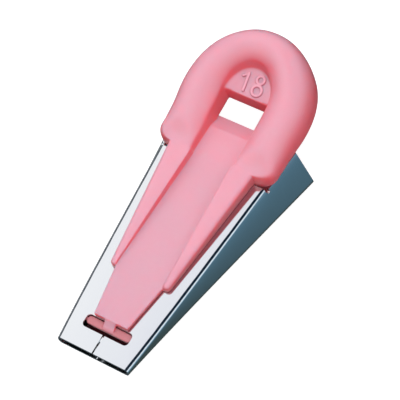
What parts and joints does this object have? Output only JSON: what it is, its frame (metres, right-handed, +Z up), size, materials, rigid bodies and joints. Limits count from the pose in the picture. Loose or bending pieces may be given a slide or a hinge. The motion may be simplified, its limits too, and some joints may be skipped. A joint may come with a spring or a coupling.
{
  "type": "bias tape maker",
  "caption": "Folded sheet-metal funnel that turns in the edges of a fabric strip, with a hinged moulded handle that ends in a finger loop.",
  "frame": {"origin": "bottom centre of the whole part's bounding box, on the table", "axes": "+X across, +Y from the narrow tip towards the finger loop, +Z up from the table"},
  "size_m": [0.0398, 0.087, 0.0262],
  "materials": {
    "plated_sheet": "bright nickel plate",
    "pink_plastic": "satin, slightly translucent"
  },
  "bodies": {
    "body": {"folded_body": "plated_sheet"},
    "handle": {"pull_handle": "pink_plastic"}
  },
  "joints": [
    {"name": "handle_lift", "type": "hinge", "parent": "body", "child": "handle", "pos_m": [0, -0.03629, 0.00227], "axis": [1, 0, 0], "range_deg": [0, 90]}
  ]
}
